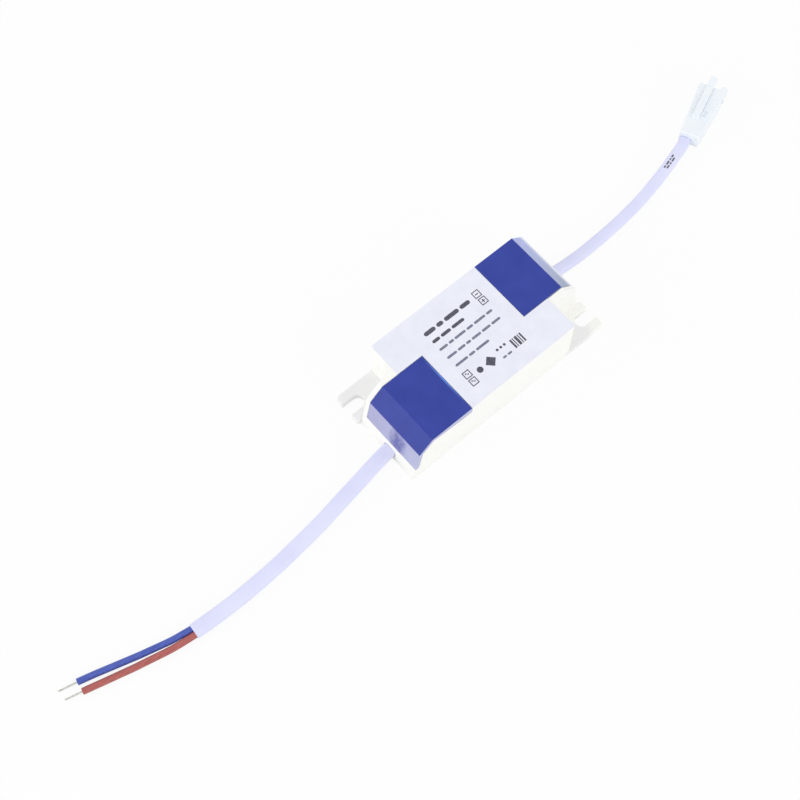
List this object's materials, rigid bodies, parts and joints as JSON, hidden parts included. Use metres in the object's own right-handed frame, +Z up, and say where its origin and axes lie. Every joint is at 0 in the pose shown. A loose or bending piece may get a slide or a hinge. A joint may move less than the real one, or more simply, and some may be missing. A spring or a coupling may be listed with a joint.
{
  "type": "led driver",
  "caption": "Small plastic-cased LED driver with sloped end covers, forked mounting ears, a flat input cable with stripped cores and a flat output cable with a latching plug.",
  "frame": {"origin": "middle of the case's base, on the surface it is fixed to", "axes": "+X along the case towards the output plug, +Y across it towards the output cover's side, +Z up from the base"},
  "size_m": [0.2633, 0.0395, 0.0178],
  "materials": {
    "case_plastic": "satin",
    "cover_plastic": "gloss",
    "label_film": "satin",
    "blue_film": "satin",
    "cable_sheath": "satin",
    "blue_insulation": "satin",
    "red_insulation": "satin",
    "tinned_copper": "satin",
    "plug_plastic": "satin",
    "contact_metal": "polished",
    "board_laminate": "satin",
    "ferrite": "matte",
    "bobbin_plastic": "satin",
    "winding_tape": "gloss",
    "capacitor_sleeve": "gloss",
    "chip_plastic": "matte",
    "resistor_coat": "matte",
    "choke_coat": "gloss",
    "disc_coat": "gloss",
    "lead_insulation": "satin"
  },
  "bodies": {
    "root": {"base_tray": "case_plastic", "top_cover": "case_plastic", "input_cover": "cover_plastic", "output_cover": "cover_plastic", "rating_label": "label_film", "input_label": "blue_film", "output_label": "blue_film", "input_cable": "cable_sheath", "blue_core": "blue_insulation", "red_core": "red_insulation", "tinned_ends": "tinned_copper", "output_cable": "cable_sheath", "plug_housing": "plug_plastic", "plug_contacts": "contact_metal", "circuit_board": "board_laminate", "transformer_core": "ferrite", "transformer_bobbin": "bobbin_plastic", "transformer_winding": "winding_tape", "input_capacitor": "capacitor_sleeve", "output_capacitor": "capacitor_sleeve", "bridge_rectifier": "chip_plastic", "driver_chip": "chip_plastic", "fuse_resistor": "resistor_coat", "filter_choke": "choke_coat", "output_diode": "chip_plastic", "safety_capacitor": "disc_coat", "chip_resistors": "chip_plastic", "input_leads": "lead_insulation", "output_leads": "lead_insulation"}
  },
  "joints": []
}
